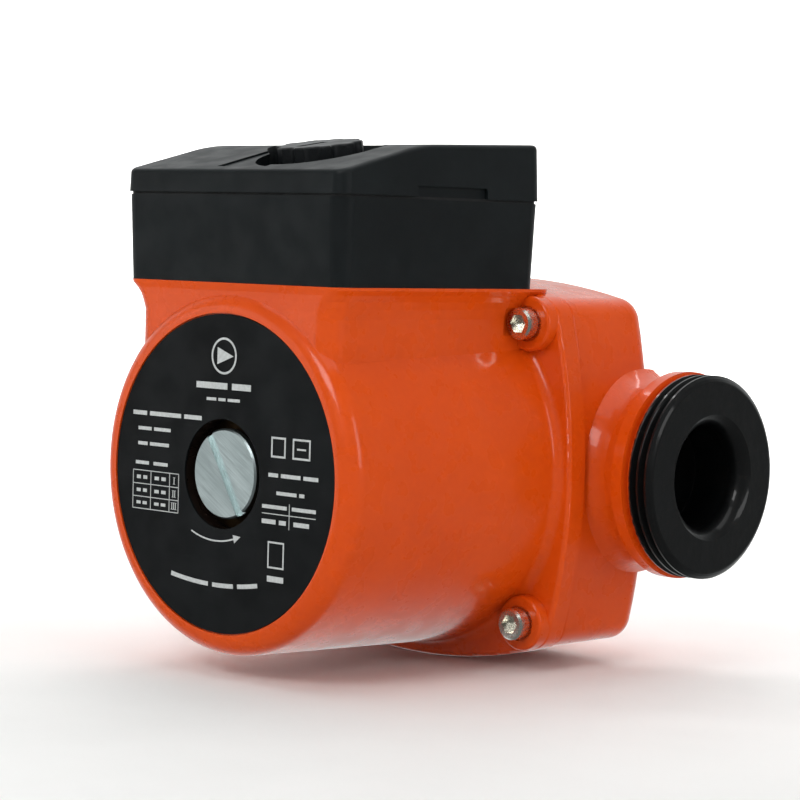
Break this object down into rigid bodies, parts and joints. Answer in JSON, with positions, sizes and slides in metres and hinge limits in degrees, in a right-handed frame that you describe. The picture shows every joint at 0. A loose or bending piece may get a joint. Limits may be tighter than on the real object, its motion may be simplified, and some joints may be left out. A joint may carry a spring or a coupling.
{
  "type": "circulator pump",
  "caption": "Inline wet-rotor circulator pump: orange casting between two threaded ports, round motor with vent plug, black terminal box on top.",
  "frame": {"origin": "where the pipe axis crosses the motor axis, in the middle of the pump housing", "axes": "+X along the pipe axis in the direction of flow, -Y along the motor axis to the motor's front plate, +Z towards the terminal box"},
  "size_m": [0.13, 0.1212, 0.1234],
  "materials": {
    "orange_cast_iron": "cast iron under glossy orange enamel, bare black at the threaded ends",
    "orange_aluminium": "die-cast aluminium under glossy orange enamel",
    "black_plastic": "fine satin moulded black",
    "dark_plastic": "matte moulded black",
    "grey_plastic": "matte grey",
    "white_plastic": "matte white nylon",
    "label": "matte black foil with white print",
    "screw_steel": "zinc plated steel",
    "vent_steel": "brushed nickel-plated steel",
    "stainless": "drawn stainless steel",
    "lamination": "stacked electrical steel",
    "cage": "cast aluminium",
    "copper": "enamelled copper wire",
    "brass": "turned brass",
    "ceramic": "ground ceramic",
    "carbon": "ground carbon",
    "rubber": "matte moulded rubber",
    "impeller": "glass-filled composite",
    "capacitor": "white moulded case",
    "lead": "PVC insulation"
  },
  "bodies": {
    "root": {"pump_housing": "orange_cast_iron", "neck_ring": "stainless", "housing_gasket": "rubber", "bearing_plate": "stainless", "rear_bearing": "ceramic", "front_bearing": "ceramic", "front_bearing_holder": "stainless", "rotor_can": "stainless", "vent_boss": "brass", "can_o_ring": "rubber", "stator_core": "lamination", "stator_winding": "copper", "stator_housing": "orange_aluminium", "flange_screws": "screw_steel", "nameplate": "label", "terminal_box": "black_plastic", "box_seal": "rubber", "box_screws": "screw_steel", "earth_screw": "brass", "speed_switch": "grey_plastic", "knob_seal": "rubber", "capacitor": "capacitor", "terminal_block": "white_plastic", "terminal_screws": "screw_steel", "motor_leads": "lead", "gland_seal": "rubber", "gland_washer": "white_plastic", "gland_nut": "dark_plastic"},
    "rotor": {"shaft": "ceramic", "rotor_core": "lamination", "rotor_cage": "cage", "rotor_sleeve": "stainless", "thrust_holder": "rubber", "thrust_bearing": "carbon", "impeller": "impeller", "impeller_shroud": "impeller", "impeller_clip": "stainless"},
    "vent_seal": {"vent_o_ring": "rubber"},
    "vent_plug": {"vent_screw": "vent_steel"},
    "knob": {"speed_knob": "dark_plastic", "switch_spindle": "white_plastic"},
    "cover": {"terminal_cover": "black_plastic", "cover_gasket": "rubber", "cover_screw": "screw_steel"}
  },
  "joints": [
    {"name": "rotor_spin", "type": "hinge", "parent": "root", "child": "rotor", "pos_m": [0, 0, 0], "axis": [0, 1, 0], "continuous": true},
    {"name": "vent_travel", "type": "slide", "parent": "root", "child": "vent_seal", "axis": [0, -1, 0], "range_m": [0, 0.0045]},
    {"name": "vent_turn", "type": "hinge", "parent": "vent_seal", "child": "vent_plug", "pos_m": [0, -0.09, 0], "axis": [0, -1, 0], "range_deg": [0, 1080]},
    {"name": "knob_turn", "type": "hinge", "parent": "root", "child": "knob", "pos_m": [0, -0.0655, 0.06], "axis": [0, -0.1564, 0.9877], "range_deg": [-45, 45]},
    {"name": "cover_lift", "type": "slide", "parent": "root", "child": "cover", "axis": [0, 0, 1], "range_m": [0, 0.04]}
  ],
  "couplings": [
    {"joint": "vent_turn", "follows": "vent_travel", "rad_per_m": 4188.8}
  ]
}
